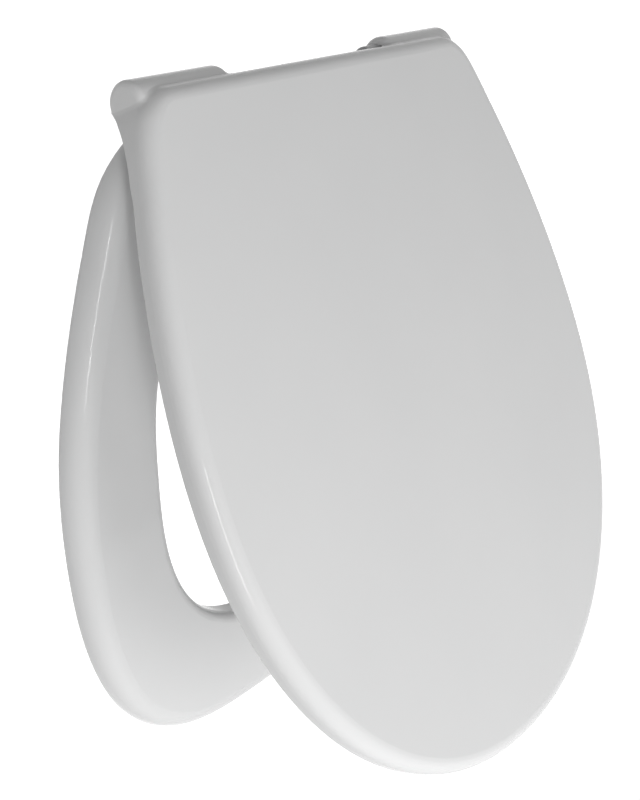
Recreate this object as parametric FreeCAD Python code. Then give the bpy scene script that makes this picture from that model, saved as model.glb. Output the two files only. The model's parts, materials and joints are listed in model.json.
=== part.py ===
import FreeCAD, Part
import math
import os
from FreeCAD import Vector

os.makedirs("parts", exist_ok=True)

# Toilet seat with lid, in millimetres.
# z = 0 is the top of the bowl's rim, -Y points to the front tip, and the origin
# is midway between the two fixing holes. Right is +X.
# Pieces are drawn about the hinge line, at y = 0 and z = 0 with the lid closed,
# and moved to their place at the end.

# Hinge line and angle of the raised lid
fixing_spacing = 155.0
axis_behind_fixing = 28.3
axis_height = 21.7
lid_open_angle = 24.4

# Lid outline, seen from above
lid_width = 386.6
lid_back_width = 293.6
lid_length = 434.8
lid_widest_share = 0.483
lid_side_power = 2.10
lid_tip_power = 2.13
lid_back_taper = 1.85
lid_corner_radius = 18.0
lid_back_overhang = 5.1

# Lid section
lid_top = 20.5
lid_height = 17.0
lid_wall = 6.0
lid_panel = 5.0
lid_crown = 1.5
lid_crown_radius = 12000.0
lid_edge_radius = 10.0
lid_rim_radius = 2.0
lid_inner_radius = 4.0

# Lugs at the lid's back corners, round bars on the hinge line that run into the lid's sides
lug_radius = 13.0
lug_inner_reach = 3.5
lug_side_inset = 0.3
lug_inner_round = 6.0
lug_outer_round = 4.0
lug_blend_radius = 4.0
lug_skin = 0.05
gusset_length = 40.0
gusset_bend = 9.5
rim_fade = 14.0
rim_skin = 0.02

# Seat ring outline and opening
ring_side_inset = 2.0
ring_back_inset = 4.15
ring_tip_inset = 3.6
ring_widest_shift = 16.9
ring_side_power = 3.85
ring_tip_power = 2.19
ring_back_taper = 1.61
ring_corner_radius = 45.0
ring_behind_axis = -9.7
ring_to_lug_gap = 1.0
side_rail = 65.0
back_rail = 73.3
front_rail = 71.1
opening_power = 2.73
opening_taper = 0.07

# Seat ring section
ring_over_axis = 1.8
ring_thickness = 18.0
ring_edge_radius = 14.0
ring_inner_edge_radius = 6.0
ring_lower_radius = 3.0

# Hinge pin, bushes and dampers
pin_radius = 4.0
pin_cover = 1.5
pin_end_inset = 4.5
pin_chamfer = 0.6
running_clearance = 0.05
bush_radius = 6.5
lid_damper_radius = 8.0
lug_end_wall = 2.5
bush_recess = 1.0
seat_damper_radius = 7.0
end_gap = 0.5
sweep_gap = 0.7

# Knuckles of the seat ring, each turning in a pocket of a lug
knuckle_radius = 9.2
knuckle_width = 21.0
lug_cheek_width = 20.0
knuckle_arm_half_height = 5.5
knuckle_arm_reach = 24.0
knuckle_arm_shoulder = 7.5
pocket_upper_angle = 143.0
pocket_lower_angle = -38.0

# Hinge brackets, which carry the pins and stand on the bowl
bracket_width = 16.0
left_barrel_radius = 7.0
right_barrel_radius = 8.7
barrel_round = 4.5
arm_half_height = 4.0
arm_round = 5.0
doorway_top = 7.0
foot_front_reach = 14.0
foot_to_lug_gap = 2.0
foot_past_fixing = 14.5
foot_height = 16.0
foot_corner_radius = 6.0
foot_edge_radius = 2.0
notch_gap = 1.5
notch_corner_radius = 3.0

# Threaded inserts in the bracket feet and the screws that hold the pins
insert_radius = 6.0
insert_hole_radius = 4.0
insert_length = 12.0
screw_radius = 2.0
screw_recess = 0.5
screw_socket_radius = 1.0
screw_socket_depth = 1.2

# Rubber buffers under the seat ring, on two pegs each
front_buffer_share = 0.248
seat_buffer_from_tip = 51.1
seat_buffer_front_turn = 20.0
seat_buffer_from_side = 45.3
seat_buffer_rear_share = 0.289
seat_buffer_rear_turn = 80.0
seat_buffer_length = 34.0
seat_buffer_width = 14.0
seat_buffer_round = 1.5
seat_buffer_peg_radius = 3.0
seat_buffer_peg_length = 8.0
seat_buffer_peg_spacing = 16.0

# Rubber buffers under the lid, each on a boss of the panel
lid_buffer_from_tip = 56.1
lid_buffer_from_side = 39.3
lid_buffer_rear_share = 0.337
lid_boss_radius = 8.0
lid_boss_height = 8.5
lid_buffer_radius = 6.0
lid_buffer_round = 1.2
lid_buffer_peg_radius = 3.0
lid_buffer_peg_length = 6.0
closed_gap = 0.3

# Outlines that follow from the values above
lid_widest_from_back = lid_length * lid_widest_share
ring_width = lid_width - 2.0 * ring_side_inset
ring_back_width = lid_back_width - 2.0 * ring_back_inset
ring_tip = lid_back_overhang - lid_length + ring_tip_inset
ring_length = ring_behind_axis - ring_tip
ring_widest_from_back = lid_widest_from_back - ring_widest_shift
opening_width = ring_width - 2.0 * side_rail
opening_length = ring_length - back_rail - front_rail
opening_middle = ring_behind_axis - back_rail - opening_length / 2.0

# Heights and places that follow from the values above
lid_bottom = lid_top - lid_height
panel_underside = lid_top - lid_panel
ring_top = ring_over_axis
ring_bottom = ring_top - ring_thickness
rim_level = -axis_height
fixing_x = fixing_spacing / 2.0
fixing_y = -axis_behind_fixing
lug_inner_end = fixing_x - lug_inner_reach
lug_outer_end = lid_back_width / 2.0 - lug_side_inset
pocket_inner_end = lug_inner_end + lug_cheek_width
knuckle_inner_end = pocket_inner_end + end_gap
knuckle_outer_end = knuckle_inner_end + knuckle_width
pocket_outer_end = knuckle_outer_end + end_gap
outer_seat_end = lug_outer_end - lug_end_wall
pin_outer_end = lug_outer_end - pin_end_inset
pocket_radius = knuckle_radius + sweep_gap
sweep_reach = knuckle_arm_reach + sweep_gap
bush_bore = pin_radius + running_clearance
bracket_outer_end = lug_inner_end - end_gap
bracket_inner_end = bracket_outer_end - bracket_width
pin_inner_end = bracket_inner_end + pin_cover
foot_outer_end = fixing_x + foot_past_fixing
foot_front = fixing_y - foot_front_reach
foot_back = -(lug_radius + foot_to_lug_gap)
boss_bottom = panel_underside - lid_boss_height
front_buffer_x = ring_width * front_buffer_share
seat_buffer_front = (front_buffer_x, ring_tip + seat_buffer_from_tip)
seat_buffer_rear = (ring_width / 2.0 - seat_buffer_from_side,
                    ring_behind_axis - ring_length * seat_buffer_rear_share)
lid_buffer_front = (front_buffer_x, ring_tip + lid_buffer_from_tip)
lid_buffer_rear = (ring_width / 2.0 - lid_buffer_from_side,
                   ring_behind_axis - ring_length * lid_buffer_rear_share)

# Reach of cuts, well past the whole seat, and how far a short cut starts outside its piece
far = 700.0
overrun = 1.0

# Margins within which edges are found
level_margin = 0.1
circle_margin = 0.05
same_place = 0.01

# Points through which the outlines run, and the steps by which their direction is found
tip_points = 9
tip_spacing = 10.0
side_points = 8
corner_points = 5
opening_points = 28
angle_step = 0.001
length_step = 0.01

X = Vector(1, 0, 0)
Z = Vector(0, 0, 1)

lid_shape = {
    "width": lid_width, "back_width": lid_back_width, "length": lid_length,
    "widest": lid_widest_from_back, "side_power": lid_side_power,
    "tip_power": lid_tip_power, "taper": lid_back_taper,
    "corner": lid_corner_radius, "back_y": lid_back_overhang}

ring_shape = {
    "width": ring_width, "back_width": ring_back_width, "length": ring_length,
    "widest": ring_widest_from_back, "side_power": ring_side_power,
    "tip_power": ring_tip_power, "taper": ring_back_taper,
    "corner": ring_corner_radius, "back_y": ring_behind_axis}


# The outline's laws give (half width, distance from the back edge).
def tip_law(shape, angle):
    across = abs(math.sin(angle))
    rise = max(0.0, 1.0 - across ** shape["side_power"])
    reach = shape["length"] - shape["widest"]
    x = shape["width"] / 2.0 * math.sin(angle)
    return x, shape["widest"] + reach * rise ** (1.0 / shape["tip_power"])


def side_law(shape, s):
    lost = (shape["width"] - shape["back_width"]) / 2.0
    ahead = abs(shape["widest"] - s) / shape["widest"]
    return shape["width"] / 2.0 - lost * ahead ** shape["taper"], s


def corner_law(shape, angle):
    radius = shape["corner"]
    s = radius * (1.0 - math.cos(angle))
    half_width, s = side_law(shape, s)
    return half_width - radius * (1.0 - math.sin(angle)), s


def inset_point(law, shape, value, step, inset):
    """A point of the outline, moved inwards at right angles to it."""
    x, s = law(shape, value)
    x1, s1 = law(shape, value - step)
    x2, s2 = law(shape, value + step)
    run = math.hypot(x2 - x1, s2 - s1)
    return x - inset * (s1 - s2) / run, s - inset * (x2 - x1) / run


def half_outline(shape, inset):
    """The right half of an outline, from the front tip to the back edge."""
    points = []
    for i in range(tip_points):
        points.append(inset_point(tip_law, shape, math.radians(tip_spacing * i), angle_step, inset))
    side_run = shape["corner"] - shape["widest"]
    for i in range(side_points):
        s = shape["widest"] + side_run * i / side_points
        points.append(inset_point(side_law, shape, s, -length_step, inset))
    for i in range(corner_points + 1):
        angle = math.pi / 2.0 * (1.0 - i / corner_points)
        points.append(inset_point(corner_law, shape, angle, -angle_step, inset))
    return points


def outline_face(shape, inset):
    right = half_outline(shape, inset)
    back_y = shape["back_y"]
    nodes = [Vector(x, back_y - s, 0) for x, s in reversed(right)]
    nodes += [Vector(-x, back_y - s, 0) for x, s in right[1:]]
    curve = Part.BSplineCurve()
    curve.interpolate(nodes)
    # The second pole from each end is set level, so that the curve runs straight
    # into the back edge.
    for pole in (2, curve.NbPoles - 1):
        at = curve.getPole(pole)
        curve.setPole(pole, Vector(at.x, nodes[0].y, 0))
    back_edge = Part.makeLine(nodes[-1], nodes[0])
    return Part.Face(Part.Wire([curve.toShape(), back_edge]))


def opening_face():
    """The ring's opening: a squarish oval, a little narrower to the front."""
    nodes = []
    for i in range(opening_points):
        angle = 2.0 * math.pi * i / opening_points
        across = abs(math.cos(angle)) ** (2.0 / opening_power)
        along = abs(math.sin(angle)) ** (2.0 / opening_power)
        along = math.copysign(along, math.sin(angle))
        x = math.copysign(across, math.cos(angle)) * (1.0 - opening_taper * along)
        y = opening_middle - along * opening_length / 2.0
        nodes.append(Vector(x * opening_width / 2.0, y, 0))
    curve = Part.BSplineCurve()
    curve.interpolate(Points=nodes, PeriodicFlag=True)
    return Part.Face(Part.Wire([curve.toShape()]))


def prism(face, low, high):
    raised = face.copy()
    raised.translate(Vector(0, 0, low))
    return raised.extrude(Vector(0, 0, high - low))


def bar(radius, start, end):
    """A round bar along the hinge line."""
    return Part.makeCylinder(radius, end - start, Vector(start, 0, 0), X)


def tube(outer, inner, start, end):
    return bar(outer, start, end).cut(bar(inner, start, end))


def block(x0, x1, y0, y1, z0, z1):
    return Part.makeBox(x1 - x0, y1 - y0, z1 - z0, Vector(x0, y0, z0))


def side_plate(corners, x0, x1):
    """A plate with its outline in the YZ plane, from x0 to x1."""
    nodes = [Vector(x0, y, z) for y, z in corners]
    nodes.append(nodes[0])
    return Part.Face(Part.makePolygon(nodes)).extrude(Vector(x1 - x0, 0, 0))


def edges_between(shape, low, high):
    """The edges that lie wholly between two heights."""
    return [e for e in shape.Edges if e.BoundBox.ZMin > low and e.BoundBox.ZMax < high]


def edges_at(shape, height):
    return edges_between(shape, height - level_margin, height + level_margin)


def upright_edges(shape):
    """The straight vertical edges."""
    found = []
    for edge in shape.Edges:
        box = edge.BoundBox
        if box.ZLength > level_margin and box.XLength < same_place and box.YLength < same_place:
            found.append(edge)
    return found


def ring_edges_at(shape, x, radius):
    """The full circles of one radius about the hinge line, at one x."""
    found = []
    for edge in shape.Edges:
        box = edge.BoundBox
        if box.XLength < same_place and abs(box.XMin - x) < same_place:
            if abs(box.YLength - 2.0 * radius) < circle_margin:
                found.append(edge)
    return found


def mirrored(shape):
    return shape.mirror(Vector(0, 0, 0), X)


def polar(radius, degrees):
    angle = math.radians(degrees)
    return radius * math.cos(angle), radius * math.sin(angle)


def barrel_radius(side):
    return right_barrel_radius if side > 0 else left_barrel_radius


# Pieces of one side are drawn on the right, and mirrored for the left.
def to_side(shape, side):
    return shape if side > 0 else mirrored(shape)


def lug(skin):
    """A round bar at a back corner, larger all round by the skin."""
    radius = lug_radius + skin
    start = lug_inner_end - skin
    end = lug_outer_end + skin
    body = bar(radius, start, end)
    body = body.makeFillet(lug_inner_round + skin, ring_edges_at(body, start, radius))
    return body.makeFillet(lug_outer_round + skin, ring_edges_at(body, end, radius))


def lies_on(edge, seam):
    """Whether three points of an edge, near its ends and at its middle, are on the seam."""
    run = edge.LastParameter - edge.FirstParameter
    for share in (0.1, 0.5, 0.9):
        point = Part.Vertex(edge.valueAt(edge.FirstParameter + share * run))
        if seam.distToShape(point)[0] > same_place:
            return False
    return True


def lid_block():
    """The lid as a solid block, down past the lugs, with the lugs blended into its corners."""
    body = prism(outline_face(lid_shape, 0.0), -lug_radius - lug_blend_radius, lid_top + lid_height)
    middle_y = lid_back_overhang - lid_length / 2.0
    centre = Vector(0, middle_y, lid_top + lid_crown - lid_crown_radius)
    # The sphere's poles point sideways, so that its seam misses the lid.
    body = body.common(Part.makeSphere(lid_crown_radius, centre, Vector(1, 1, 0)))
    body = body.makeFillet(lid_edge_radius, edges_between(body, lid_bottom, far))
    for side in (1, -1):
        corner = to_side(lug(0.0), side)
        seam = body.section(corner)
        body = body.fuse(corner).removeSplitter()
        body = body.makeFillet(lug_blend_radius, [e for e in body.Edges if lies_on(e, seam)])
    return body


def below_rim():
    """All that lies under the lid's rim, apart from the lugs and the gussets beside them."""
    start = Vector(-far, 0, -lug_radius)
    bend = Vector(-far, -gusset_bend, lid_bottom)
    finish = Vector(-far, -gusset_length, lid_bottom)
    curve = Part.BezierCurve()
    curve.setPoles([start, bend, finish])
    corners = [finish, Vector(-far, -far, lid_bottom), Vector(-far, -far, -far), Vector(-far, far, -far),
               Vector(-far, far, lid_bottom), Vector(-far, 0, lid_bottom), start]
    sides = Part.makePolygon(corners).Edges
    body = Part.Face(Part.Wire([curve.toShape()] + sides)).extrude(Vector(2.0 * far, 0, 0))
    for side in (1, -1):
        body = body.cut(to_side(lug(lug_skin), side))
    return body.fuse(block(-lug_inner_end, lug_inner_end, -lug_radius, far, -far, lid_bottom))


def rim_edge():
    """What a rounded lower rim leaves off, fading out towards the gussets."""
    top = lid_bottom + lid_rim_radius
    rounded = prism(outline_face(lid_shape, -rim_skin), lid_bottom, lid_top)
    rounded = rounded.makeFillet(lid_rim_radius, edges_at(rounded, lid_bottom))
    fade_end = -gusset_length - rim_fade
    around = side_plate(
        [(-gusset_length, -far), (-gusset_length, lid_bottom), (fade_end, top), (-far, top), (-far, -far)],
        -far, far)
    return around.cut(rounded)


def lid_hollow():
    body = prism(outline_face(lid_shape, lid_wall), -far, panel_underside)
    ceiling = edges_at(body, panel_underside)
    body = body.makeFillet(lid_inner_radius, ceiling)
    for side in (1, -1):
        body = body.cut(to_side(bar(lug_radius, lug_inner_end, far), side))
    return body


def lug_cuts(side):
    """The bores for the bush and damper, and the pocket for the ring's knuckle."""
    outer_bore = bush_radius if side > 0 else lid_damper_radius
    upper_y = panel_underside / math.tan(math.radians(pocket_upper_angle))
    low_y, low_z = polar(far, pocket_lower_angle)
    sweep = side_plate(
        [(0, 0), (upper_y, panel_underside), (-sweep_reach, panel_underside), (-sweep_reach, -far),
         (low_y, -far), (low_y, low_z)],
        pocket_inner_end, pocket_outer_end)
    doorway = block(bracket_inner_end - end_gap, lug_inner_end,
                    -lug_radius, lug_radius, -far, doorway_top)
    barrel_room = bar(barrel_radius(side) + sweep_gap, bracket_inner_end - end_gap, lug_inner_end)
    cuts = bar(bush_radius, lug_inner_end - overrun, pocket_inner_end)
    cuts = cuts.fuse(bar(pocket_radius, pocket_inner_end, pocket_outer_end))
    cuts = cuts.fuse(bar(outer_bore, pocket_outer_end - overrun, outer_seat_end))
    cuts = cuts.fuse(sweep).fuse(barrel_room)
    return cuts.fuse(doorway)


def lid_boss(place):
    x, y = place
    boss = Part.makeCylinder(lid_boss_radius, lid_boss_height + overrun, Vector(x, y, boss_bottom), Z)
    hole = Part.makeCylinder(lid_buffer_peg_radius, lid_buffer_peg_length, Vector(x, y, boss_bottom), Z)
    return boss, hole


def lid():
    body = lid_block().cut(below_rim()).cut(rim_edge()).cut(lid_hollow())
    for side in (1, -1):
        body = body.cut(to_side(lug_cuts(side), side))
        for place in (lid_buffer_front, lid_buffer_rear):
            boss, hole = lid_boss(place)
            body = body.fuse(to_side(boss, side))
            body = body.cut(to_side(hole, side))
    return body.removeSplitter()


def lid_buffer(place):
    x, y = place
    low = ring_top + closed_gap
    head = Part.makeCylinder(lid_buffer_radius, boss_bottom - low, Vector(x, y, low), Z)
    head = head.makeFillet(lid_buffer_round, edges_at(head, low))
    peg = Part.makeCylinder(lid_buffer_peg_radius, lid_buffer_peg_length, Vector(x, y, boss_bottom), Z)
    return head.fuse(peg).removeSplitter()


def ring_knuckle():
    body = bar(knuckle_radius, knuckle_inner_end, knuckle_outer_end)
    shoulder = math.sqrt(knuckle_radius ** 2 - knuckle_arm_shoulder ** 2)
    arm = side_plate(
        [(0, -knuckle_arm_half_height), (-knuckle_arm_reach, -knuckle_arm_half_height),
         (-knuckle_arm_reach, ring_top), (-knuckle_arm_shoulder, shoulder), (0, shoulder)],
        knuckle_inner_end, knuckle_outer_end)
    return body.fuse(arm)


def bracket_notch():
    """The room for a bracket's foot, open at the ring's back edge."""
    notch = block(bracket_inner_end - notch_gap, foot_outer_end + notch_gap,
                  foot_front - notch_gap, far, -far, far)
    front = [e for e in upright_edges(notch) if e.BoundBox.YMin < 0]
    return notch.makeFillet(notch_corner_radius, front)


def seat_buffer_pegs(place, turn, low):
    x, y = place
    pegs = []
    for along in (-0.5, 0.5):
        dx, dy = polar(along * seat_buffer_peg_spacing, turn)
        base = Vector(x + dx, y + dy, low)
        pegs.append(Part.makeCylinder(seat_buffer_peg_radius, seat_buffer_peg_length, base, Z))
    return pegs[0].fuse(pegs[1])


def seat_buffer(place, turn):
    x, y = place
    half_run = (seat_buffer_length - seat_buffer_width) / 2.0
    height = ring_bottom - rim_level
    pad = block(-half_run, half_run, -seat_buffer_width / 2.0, seat_buffer_width / 2.0, 0.0, height)
    for end in (-half_run, half_run):
        pad = pad.fuse(Part.makeCylinder(seat_buffer_width / 2.0, height, Vector(end, 0, 0), Z))
    pad = pad.removeSplitter()
    pad = pad.makeFillet(seat_buffer_round, edges_at(pad, 0.0))
    pad.rotate(Vector(0, 0, 0), Z, turn)
    pad.translate(Vector(x, y, rim_level))
    return pad.fuse(seat_buffer_pegs(place, turn, ring_bottom)).removeSplitter()


def seat_ring():
    body = prism(outline_face(ring_shape, 0.0), ring_bottom, ring_top)
    body = body.makeFillet(ring_edge_radius, edges_at(body, ring_top))
    body = body.makeFillet(ring_lower_radius, edges_at(body, ring_bottom))
    opening = prism(opening_face(), ring_bottom - overrun, ring_top + overrun)
    body = body.cut(opening)
    for height, radius in ((ring_top, ring_inner_edge_radius), (ring_bottom, ring_lower_radius)):
        brim = [e for e in edges_at(body, height) if e.isClosed()]
        body = body.makeFillet(radius, brim)
    for side in (1, -1):
        body = body.cut(to_side(bracket_notch(), side))
        lug_room = bar(lug_radius + ring_to_lug_gap, foot_outer_end, lug_outer_end + far)
        body = body.cut(to_side(lug_room, side))
        body = body.fuse(to_side(ring_knuckle(), side))
        bore = seat_damper_radius if side > 0 else bush_radius
        through = bar(bore, knuckle_inner_end - overrun, knuckle_outer_end + overrun)
        body = body.cut(to_side(through, side))
        front_pegs = seat_buffer_pegs(seat_buffer_front, seat_buffer_front_turn, ring_bottom)
        body = body.cut(to_side(front_pegs, side))
        rear_pegs = seat_buffer_pegs(seat_buffer_rear, seat_buffer_rear_turn, ring_bottom)
        body = body.cut(to_side(rear_pegs, side))
    return body.removeSplitter()


def insert_hole():
    return Part.makeCylinder(insert_radius, insert_length, Vector(fixing_x, fixing_y, rim_level), Z)


def screw_x():
    return (bracket_inner_end + bracket_outer_end) / 2.0


def hinge_bracket(side):
    radius = barrel_radius(side)
    barrel = bar(radius, bracket_inner_end, bracket_outer_end)
    barrel = barrel.makeFillet(barrel_round, ring_edges_at(barrel, bracket_inner_end, radius))
    arm = side_plate(
        [(0, -arm_half_height), (foot_back, -arm_half_height), (foot_back, rim_level),
         (foot_front, rim_level), (foot_front, arm_half_height), (0, arm_half_height)],
        bracket_inner_end, bracket_outer_end)
    nose = [e for e in arm.Edges
            if abs(e.BoundBox.YMax - foot_front) < same_place
            and abs(e.BoundBox.ZMin - arm_half_height) < same_place]
    arm = arm.makeFillet(arm_round, nose)
    foot = block(bracket_inner_end, foot_outer_end, foot_front, foot_back,
                 rim_level, rim_level + foot_height)
    outer = [e for e in upright_edges(foot) if e.BoundBox.XMin > fixing_x]
    foot = foot.makeFillet(foot_corner_radius, outer)
    top = rim_level + foot_height
    foot = foot.makeFillet(foot_edge_radius, edges_at(foot, top))
    body = barrel.fuse(arm).fuse(foot)
    body = body.cut(bar(pin_radius, pin_inner_end, lug_inner_end))
    body = body.cut(insert_hole())
    hole = Part.makeCylinder(screw_radius, radius, Vector(screw_x(), 0, -radius - pin_radius), Z)
    return body.cut(hole).removeSplitter()


def hinge_pin():
    body = bar(pin_radius, pin_inner_end, pin_outer_end)
    ends = ring_edges_at(body, pin_inner_end, pin_radius) + ring_edges_at(body, pin_outer_end, pin_radius)
    return body.makeChamfer(pin_chamfer, ends)


def pin_screw(side):
    low = screw_recess - barrel_radius(side)
    body = Part.makeCylinder(screw_radius, -pin_radius - low, Vector(screw_x(), 0, low), Z)
    socket = Part.makeCylinder(screw_socket_radius, screw_socket_depth, Vector(screw_x(), 0, low), Z)
    return body.cut(socket)


def foot_insert():
    bore = Part.makeCylinder(insert_hole_radius, insert_length, Vector(fixing_x, fixing_y, rim_level), Z)
    return insert_hole().cut(bore)


def export(name, shape, raised):
    placed = shape.copy()
    if raised:
        placed.rotate(Vector(0, 0, 0), X, -lid_open_angle)
    placed.translate(Vector(0, axis_behind_fixing, axis_height))
    placed.exportStep("parts/" + name + ".step")
    print(name, "solids", len(placed.Solids), "valid", placed.isValid(), "volume", round(placed.Volume))


export("lid", lid(), True)
export("seat_ring", seat_ring(), False)

for side, name in ((1, "right"), (-1, "left")):
    export("hinge_bracket_" + name, to_side(hinge_bracket(side), side), False)
    export("hinge_pin_" + name, to_side(hinge_pin(), side), False)
    export("pin_screw_" + name, to_side(pin_screw(side), side), False)
    export("foot_insert_" + name, to_side(foot_insert(), side), False)
    inner_bush = tube(bush_radius, bush_bore, lug_inner_end + bush_recess, pocket_inner_end)
    export("lid_bush_" + name, to_side(inner_bush, side), True)
    front_pad = seat_buffer(seat_buffer_front, seat_buffer_front_turn)
    export("seat_buffer_front_" + name, to_side(front_pad, side), False)
    rear_pad = seat_buffer(seat_buffer_rear, seat_buffer_rear_turn)
    export("seat_buffer_rear_" + name, to_side(rear_pad, side), False)
    export("lid_buffer_front_" + name, to_side(lid_buffer(lid_buffer_front), side), True)
    export("lid_buffer_rear_" + name, to_side(lid_buffer(lid_buffer_rear), side), True)

# The lid's damper sits in the left lug, the seat's damper in the right knuckle.
lid_damper = tube(lid_damper_radius, bush_bore, pocket_outer_end, outer_seat_end)
export("lid_damper", to_side(lid_damper, -1), True)
export("lid_end_bush", tube(bush_radius, bush_bore, pocket_outer_end, outer_seat_end), True)
seat_damper = tube(seat_damper_radius, bush_bore, knuckle_inner_end, knuckle_outer_end)
export("seat_damper", seat_damper, False)
ring_bush = tube(bush_radius, bush_bore, knuckle_inner_end, knuckle_outer_end)
export("seat_bush", to_side(ring_bush, -1), False)
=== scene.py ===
import json

import bpy
from mathutils import Matrix, Vector

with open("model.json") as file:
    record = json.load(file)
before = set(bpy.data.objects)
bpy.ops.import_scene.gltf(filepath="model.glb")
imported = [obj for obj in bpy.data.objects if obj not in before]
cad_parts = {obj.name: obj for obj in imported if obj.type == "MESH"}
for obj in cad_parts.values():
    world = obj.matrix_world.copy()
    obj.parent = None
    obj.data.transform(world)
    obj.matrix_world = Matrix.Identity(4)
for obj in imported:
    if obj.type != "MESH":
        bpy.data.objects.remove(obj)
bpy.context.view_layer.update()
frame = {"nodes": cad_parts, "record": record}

scene = bpy.context.scene
scene.view_settings.view_transform = "Standard"

# Camera: the seat is seen from above and from its left rear, with the hinge line at the top
# of the picture. The picture is taller than wide, so the sensor's width, in millimetres, lies
# along its height. Places are in metres.
FOCAL_PIXELS = 1284.0
PICTURE_HEIGHT = 800.0
SENSOR_WIDTH = 36.0
NEAREST = 0.01
FARTHEST = 50.0
CAMERA_PLACE = Vector((-0.606859, 0.160484, 0.496720))
ACROSS = Vector((0.6105, 0.0313, 0.7914)).normalized()
FORWARD = Vector((0.7310, -0.4070, -0.5478)).normalized()
UP = ACROSS.cross(FORWARD).normalized()
RIGHT = FORWARD.cross(UP).normalized()

cam_data = bpy.data.cameras.new("camera")
cam_data.sensor_fit = "AUTO"
cam_data.sensor_width = SENSOR_WIDTH
cam_data.lens = FOCAL_PIXELS * SENSOR_WIDTH / PICTURE_HEIGHT
cam_data.clip_start = NEAREST
cam_data.clip_end = FARTHEST
cam = bpy.data.objects.new("camera", cam_data)
scene.collection.objects.link(cam)
turn = Matrix((RIGHT, UP, -FORWARD)).transposed().to_4x4()
cam.matrix_world = Matrix.Translation(CAMERA_PLACE) @ turn
scene.camera = cam

# Most of a noise value lies between these two.
NOISE_LOW = 0.3
NOISE_HIGH = 0.7

PLASTIC_IOR = 1.50
POLISHED_SPECULAR = 0.28


def empty_tree(owner, output):
    """Gives a material or world a node tree that holds only its output."""
    owner.use_nodes = True
    tree = owner.node_tree
    tree.nodes.clear()
    return tree, tree.nodes.new(output)


def new_material(name):
    material = bpy.data.materials.new(name)
    tree, out = empty_tree(material, "ShaderNodeOutputMaterial")
    shader = tree.nodes.new("ShaderNodeBsdfPrincipled")
    tree.links.new(shader.outputs[0], out.inputs["Surface"])
    return material, tree, shader


def position(tree, scale=(1.0, 1.0, 1.0)):
    """The point in the object's own frame, in metres, stretched by scale."""
    coord = tree.nodes.new("ShaderNodeTexCoord")
    mapping = tree.nodes.new("ShaderNodeMapping")
    mapping.inputs["Scale"].default_value = scale
    tree.links.new(coord.outputs["Object"], mapping.inputs["Vector"])
    return mapping.outputs["Vector"]


def noise(tree, vector, scale, detail):
    node = tree.nodes.new("ShaderNodeTexNoise")
    node.inputs["Scale"].default_value = scale
    node.inputs["Detail"].default_value = detail
    tree.links.new(vector, node.inputs["Vector"])
    return node.outputs["Fac"]


def spread(tree, value, low, high):
    """Maps a noise value to the range low to high."""
    node = tree.nodes.new("ShaderNodeMapRange")
    node.inputs["From Min"].default_value = NOISE_LOW
    node.inputs["From Max"].default_value = NOISE_HIGH
    node.inputs["To Min"].default_value = low
    node.inputs["To Max"].default_value = high
    tree.links.new(value, node.inputs["Value"])
    return node.outputs["Result"]


def mottle(tree, shader, cloud, dark, light):
    """Base colour between dark and light, as the noise goes."""
    node = tree.nodes.new("ShaderNodeMix")
    node.data_type = "RGBA"
    node.inputs["A"].default_value = (*dark, 1.0)
    node.inputs["B"].default_value = (*light, 1.0)
    tree.links.new(spread(tree, cloud, 0.0, 1.0), node.inputs["Factor"])
    tree.links.new(node.outputs["Result"], shader.inputs["Base Color"])


def roughen(tree, shader, value, low, high):
    """Roughness between low and high, as the noise goes."""
    tree.links.new(spread(tree, value, low, high), shader.inputs["Roughness"])


def bump(tree, shader, height, depth, under=None):
    """Relief of a depth in metres, on top of the relief under where that is given."""
    node = tree.nodes.new("ShaderNodeBump")
    node.inputs["Distance"].default_value = depth
    tree.links.new(height, node.inputs["Height"])
    if under is not None:
        tree.links.new(under, node.inputs["Normal"])
    tree.links.new(node.outputs["Normal"], shader.inputs["Normal"])
    return node.outputs["Normal"]


def pressed_white():
    """Polished thermoset: hard, glossy white with the faint waviness of a pressed part."""
    material, tree, shader = new_material("seat_plastic")
    at = position(tree)
    cloud = noise(tree, at, scale=9.0, detail=3.0)
    mottle(tree, shader, cloud, dark=(0.735, 0.737, 0.738), light=(0.755, 0.756, 0.756))
    polish = noise(tree, at, scale=140.0, detail=3.0)
    roughen(tree, shader, polish, low=0.11, high=0.15)
    swell = noise(tree, at, scale=26.0, detail=1.0)
    grain = noise(tree, at, scale=900.0, detail=2.0)
    waves = bump(tree, shader, swell, depth=0.00006)
    bump(tree, shader, grain, depth=0.000004, under=waves)
    shader.inputs["IOR"].default_value = PLASTIC_IOR
    shader.inputs["Specular IOR Level"].default_value = POLISHED_SPECULAR
    return material


def moulded(name, dark, light, rough, grain_depth=0.00003):
    """Injection-moulded plastic or rubber with a fine spark-eroded grain."""
    rough_spread = 0.06
    material, tree, shader = new_material(name)
    at = position(tree)
    mottle(tree, shader, noise(tree, at, scale=60.0, detail=4.0), dark, light)
    dullness = noise(tree, at, scale=400.0, detail=3.0)
    roughen(tree, shader, dullness, rough - rough_spread, rough + rough_spread)
    bump(tree, shader, noise(tree, at, scale=1600.0, detail=2.0), grain_depth)
    shader.inputs["IOR"].default_value = PLASTIC_IOR
    return material


def turned(name, dark, light, rough):
    """Metal turned on the hinge line: fine rings around X, in a slightly cloudy colour."""
    rough_spread = 0.07
    hardly_round = (1.0, 0.02, 0.02)
    material, tree, shader = new_material(name)
    rings = noise(tree, position(tree, hardly_round), scale=9000.0, detail=2.0)
    mottle(tree, shader, noise(tree, position(tree), scale=220.0, detail=4.0), dark, light)
    roughen(tree, shader, rings, rough - rough_spread, rough + rough_spread)
    bump(tree, shader, rings, depth=0.000006)
    shader.inputs["Metallic"].default_value = 1.0
    return material


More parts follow.
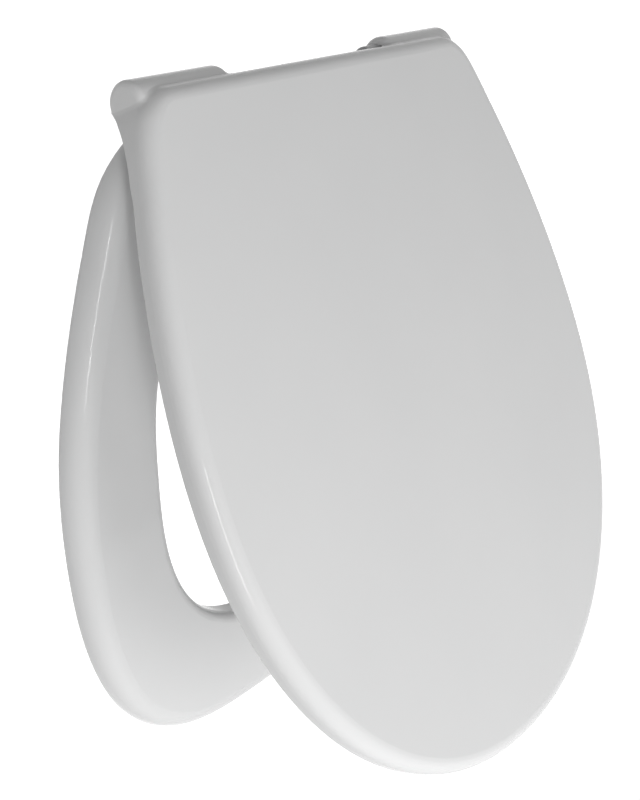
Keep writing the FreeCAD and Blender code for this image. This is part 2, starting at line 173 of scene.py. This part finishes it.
looks = {
    "seat_plastic": pressed_white(),
    "bracket_plastic": moulded("bracket_plastic", dark=(0.36, 0.36, 0.37),
                               light=(0.41, 0.41, 0.42), rough=0.38),
    "bush_plastic": moulded("bush_plastic", dark=(0.66, 0.66, 0.64),
                            light=(0.72, 0.72, 0.70), rough=0.35),
    "damper_plastic": moulded("damper_plastic", dark=(0.060, 0.062, 0.066),
                              light=(0.085, 0.087, 0.092), rough=0.42),
    "buffer_rubber": moulded("buffer_rubber", dark=(0.56, 0.56, 0.55),
                             light=(0.64, 0.64, 0.63), rough=0.62, grain_depth=0.00006),
    "steel": turned("steel", dark=(0.52, 0.53, 0.54), light=(0.64, 0.65, 0.66), rough=0.26),
    "brass": turned("brass", dark=(0.62, 0.44, 0.17), light=(0.74, 0.56, 0.24), rough=0.28),
}

for row in frame["record"]["subparts"]:
    node = frame["nodes"][row["node"]]
    node.data.materials.clear()
    node.data.materials.append(looks[row["material_slot"]])


def seen_by_view(tree):
    """1 for rays of the camera and for what gloss, metal and glass show, 0 for the light itself."""
    path = tree.nodes.new("ShaderNodeLightPath")
    total = path.outputs["Is Camera Ray"]
    for kind in ("Is Glossy Ray", "Is Transmission Ray"):
        node = tree.nodes.new("ShaderNodeMath")
        node.operation = "MAXIMUM"
        tree.links.new(total, node.inputs[0])
        tree.links.new(path.outputs[kind], node.inputs[1])
        total = node.outputs[0]
    return total


def choose_by_view(tree, out, hidden, shown):
    """Gives the view's rays the shader shown, and the light's own rays the shader hidden."""
    choose = tree.nodes.new("ShaderNodeMixShader")
    tree.links.new(seen_by_view(tree), choose.inputs[0])
    tree.links.new(hidden.outputs[0], choose.inputs[1])
    tree.links.new(shown.outputs[0], choose.inputs[2])
    tree.links.new(choose.outputs[0], out.inputs["Surface"])


# Floor, as far below the seat as the ground under a bowl: white to the view, with its shadow
FLOOR_LEVEL = -0.40
FLOOR_HALF = 9
FLOOR_GREY = (0.60, 0.60, 0.60, 1.0)
FLOOR_GLOW = 0.92

floor_mesh = bpy.data.meshes.new("floor")
corners = [(-FLOOR_HALF, -FLOOR_HALF, FLOOR_LEVEL), (FLOOR_HALF, -FLOOR_HALF, FLOOR_LEVEL),
           (FLOOR_HALF, FLOOR_HALF, FLOOR_LEVEL), (-FLOOR_HALF, FLOOR_HALF, FLOOR_LEVEL)]
floor_mesh.from_pydata(corners, [], [(0, 1, 2, 3)])
floor = bpy.data.objects.new("floor", floor_mesh)
scene.collection.objects.link(floor)
floor_material = bpy.data.materials.new("floor")
tree, out = empty_tree(floor_material, "ShaderNodeOutputMaterial")
matt = tree.nodes.new("ShaderNodeBsdfDiffuse")
matt.inputs["Color"].default_value = FLOOR_GREY
white = tree.nodes.new("ShaderNodeEmission")
white.inputs["Strength"].default_value = FLOOR_GLOW
both = tree.nodes.new("ShaderNodeAddShader")
tree.links.new(matt.outputs[0], both.inputs[0])
tree.links.new(white.outputs[0], both.inputs[1])
choose_by_view(tree, out, hidden=matt, shown=both)
floor_mesh.materials.append(floor_material)

# World: white where the view looks past the floor, and a dim soft light for everything else
SOFT_LIGHT = 0.10
WHITE_LIGHT = 1.0


def background(tree, strength):
    node = tree.nodes.new("ShaderNodeBackground")
    node.inputs["Color"].default_value = (1.0, 1.0, 1.0, 1.0)
    node.inputs["Strength"].default_value = strength
    return node


world = bpy.data.worlds.new("studio")
scene.world = world
tree, out = empty_tree(world, "ShaderNodeOutputWorld")
choose_by_view(tree, out, hidden=background(tree, SOFT_LIGHT), shown=background(tree, WHITE_LIGHT))

SEAT_CENTRE = Vector((0.0, -0.19, 0.08))


def softbox(name, direction, distance, size, power, in_gloss=False):
    """A lamp that faces the seat. Its size is level across and then upright, in metres, its
    power is in watts, and in_gloss says whether gloss mirrors it."""
    data = bpy.data.lights.new(name, "AREA")
    data.shape = "RECTANGLE"
    data.size, data.size_y = size
    data.energy = power
    lamp = bpy.data.objects.new(name, data)
    lamp.visible_glossy = in_gloss
    scene.collection.objects.link(lamp)
    away = Vector(direction).normalized()
    lamp.location = SEAT_CENTRE + away * distance
    lamp.rotation_mode = "QUATERNION"
    lamp.rotation_quaternion = (-away).to_track_quat("-Z", "Y")


softbox("overhead", (0.0, -0.05, 1.0), distance=1.6, size=(1.2, 1.2), power=12.5)
softbox("left", (-0.75, 0.05, 0.7), distance=1.6, size=(0.8, 0.8), power=8.4)
softbox("right", (0.8, -0.3, 0.7), distance=1.6, size=(0.9, 0.9), power=1.8)
softbox("front", (-0.3, -1.0, 0.6), distance=1.5, size=(0.8, 0.8), power=7.0)
softbox("streak", (-0.66, 0.06, 0.74), distance=1.8, size=(0.8, 0.05), power=3.8, in_gloss=True)
